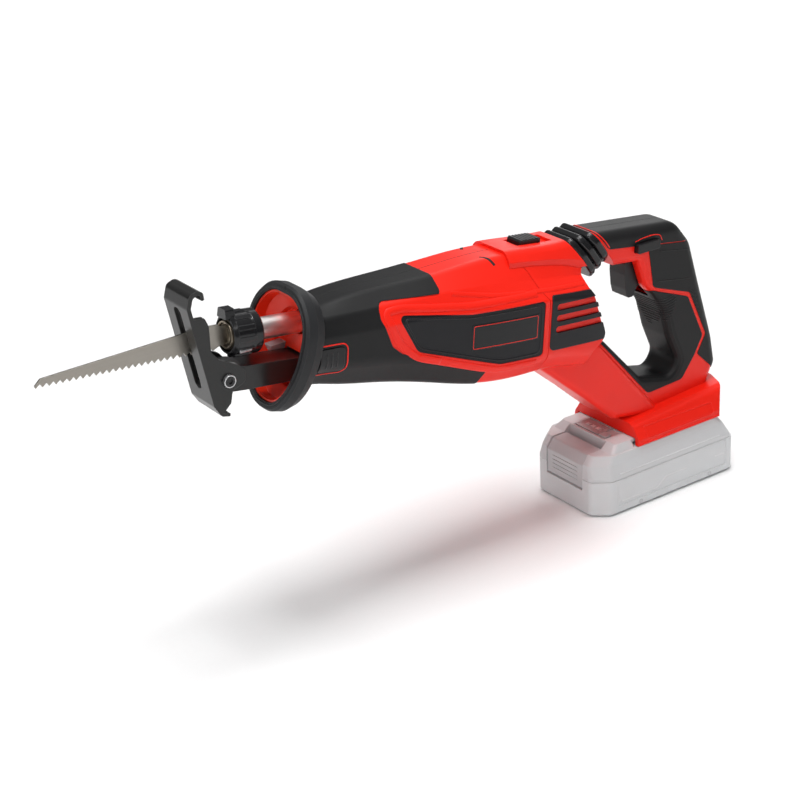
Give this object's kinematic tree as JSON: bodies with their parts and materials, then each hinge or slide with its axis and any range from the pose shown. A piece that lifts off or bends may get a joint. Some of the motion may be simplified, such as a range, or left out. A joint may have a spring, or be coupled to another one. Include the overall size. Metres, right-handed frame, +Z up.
{
  "type": "reciprocating saw",
  "caption": "Cordless reciprocating saw with D-handle, pivoting shoe, quick clamp for the blade and a slide-on battery, for cutting wood, pipe and branches.",
  "frame": {"origin": "centre of the battery's flat bottom, on which the tool stands", "axes": "+Z up, blade towards -X, the tool's left side towards -Y; the tool's long axis is tilted 6 degrees, blade end up"},
  "size_m": [0.522, 0.076, 0.2434],
  "materials": {
    "blade_steel": "brushed",
    "shoe_steel": "satin",
    "clamp_black": "gloss",
    "clamp_steel": "satin",
    "polished_steel": "polished",
    "steel": "machined",
    "bronze": "sintered",
    "cast_alloy": "cast",
    "red_plastic": "satin",
    "funnel_red": "satin",
    "soft_black": "matte",
    "ring_grey": "matte",
    "bellows_black": "gloss",
    "charcoal": "satin",
    "black_plastic": "satin",
    "lens_clear": "clear",
    "board_green": "matte",
    "motor_steel": "painted",
    "shell_pale": "satin",
    "tray_pale": "satin",
    "latch_pale": "satin",
    "gauge_pale": "satin",
    "cell_wrap": "shrink sleeve"
  },
  "bodies": {
    "saw_body": {"bearing_bracket": "cast_alloy", "bellows_1": "bellows_black", "bellows_2": "bellows_black", "bellows_3": "bellows_black", "control_board": "board_green", "cover_skin": "soft_black", "front_bush": "bronze", "front_housing_left": "red_plastic", "front_housing_right": "red_plastic", "gear_axle": "steel", "gearbox_case": "cast_alloy", "gearbox_cover": "cast_alloy", "grip_skin": "soft_black", "lamp_board": "board_green", "lamp_lens": "lens_clear", "motor_bearing_front": "steel", "motor_bearing_rear": "steel", "motor_bell": "cast_alloy", "nose_funnel": "funnel_red", "nose_ring": "ring_grey", "nose_sleeve": "soft_black", "rear_bush": "bronze", "rear_housing_left": "red_plastic", "rear_housing_right": "red_plastic", "rear_panel_skin": "soft_black", "side_inlay_left": "charcoal", "side_inlay_right": "charcoal", "stator": "motor_steel", "terminal_block": "black_plastic", "top_cover": "red_plastic", "trigger_switch": "black_plastic", "vent_panel_left": "charcoal", "vent_panel_right": "charcoal"},
    "spindle_unit": {"spindle": "polished_steel", "yoke": "steel", "clamp_core": "clamp_steel", "clamp_pin": "steel", "blade": "blade_steel"},
    "clamp_ring": {"clamp_collar": "clamp_black"},
    "crank": {"crank_gear": "steel"},
    "rotor_unit": {"motor_shaft": "steel", "pinion": "steel", "rotor": "motor_steel", "cooling_fan": "black_plastic"},
    "shoe_slider": {"shoe_arm": "shoe_steel", "pivot_pin": "steel"},
    "shoe": {"shoe_plate": "shoe_steel"},
    "shoe_button": {"shoe_release": "black_plastic"},
    "trigger_unit": {"trigger": "black_plastic"},
    "lock_bar": {"lock_button": "black_plastic"},
    "mode_slider": {"mode_switch": "black_plastic"},
    "battery": {"battery_tray": "tray_pale", "battery_shell": "shell_pale", "cells_lower": "cell_wrap", "cells_upper": "cell_wrap", "battery_board": "board_green", "gauge_window": "gauge_pale"},
    "latch": {"battery_latch": "latch_pale"},
    "gauge_key": {"gauge_button": "latch_pale"}
  },
  "joints": [
    {"name": "spindle_stroke", "type": "slide", "parent": "saw_body", "child": "spindle_unit", "axis": [0.9945, 0, -0.1045], "range_m": [0, 0.022]},
    {"name": "clamp_twist", "type": "hinge", "parent": "spindle_unit", "child": "clamp_ring", "pos_m": [-0.31907, 0, 0.20418], "axis": [0.9945, 0, -0.1045], "range_deg": [0, 45], "stiffness_Nm_per_rad": 0.15},
    {"name": "rotor_spin", "type": "hinge", "parent": "saw_body", "child": "rotor_unit", "pos_m": [-0.12194, 0, 0.15682], "axis": [0.9945, 0, -0.1045], "continuous": true},
    {"name": "crank_spin", "type": "hinge", "parent": "saw_body", "child": "crank", "pos_m": [-0.21475, 0, 0.17311], "axis": [0.1045, 0, 0.9945], "continuous": true},
    {"name": "shoe_depth", "type": "slide", "parent": "saw_body", "child": "shoe_slider", "axis": [-0.9945, 0, 0.1045], "range_m": [0, 0.015]},
    {"name": "shoe_tilt", "type": "hinge", "parent": "shoe_slider", "child": "shoe", "pos_m": [-0.33749, 0, 0.18199], "axis": [0, 1, 0], "range_deg": [-20, 4]},
    {"name": "shoe_release_push", "type": "slide", "parent": "saw_body", "child": "shoe_button", "axis": [0, 1, 0], "range_m": [0, 0.0015], "stiffness_N_per_m": 600},
    {"name": "trigger_pull", "type": "slide", "parent": "saw_body", "child": "trigger_unit", "axis": [0.9945, 0, -0.1045], "range_m": [0, 0.005], "stiffness_N_per_m": 800},
    {"name": "lock_push", "type": "slide", "parent": "saw_body", "child": "lock_bar", "axis": [0, 1, 0], "range_m": [-0.0025, 0.0025]},
    {"name": "mode_slide", "type": "slide", "parent": "saw_body", "child": "mode_slider", "axis": [0.9945, 0, -0.1045], "range_m": [0, 0.007]},
    {"name": "battery_slide", "type": "slide", "parent": "saw_body", "child": "battery", "axis": [-1, 0, 0], "range_m": [0, 0.09]},
    {"name": "latch_push", "type": "slide", "parent": "battery", "child": "latch", "axis": [1, 0, 0], "range_m": [0, 0.002], "stiffness_N_per_m": 900},
    {"name": "gauge_push", "type": "slide", "parent": "battery", "child": "gauge_key", "axis": [0, 0, -1], "range_m": [0, 0.0007], "stiffness_N_per_m": 400}
  ],
  "couplings": [
    {"joint": "crank_spin", "follows": "rotor_spin", "ratio": -0.2}
  ]
}
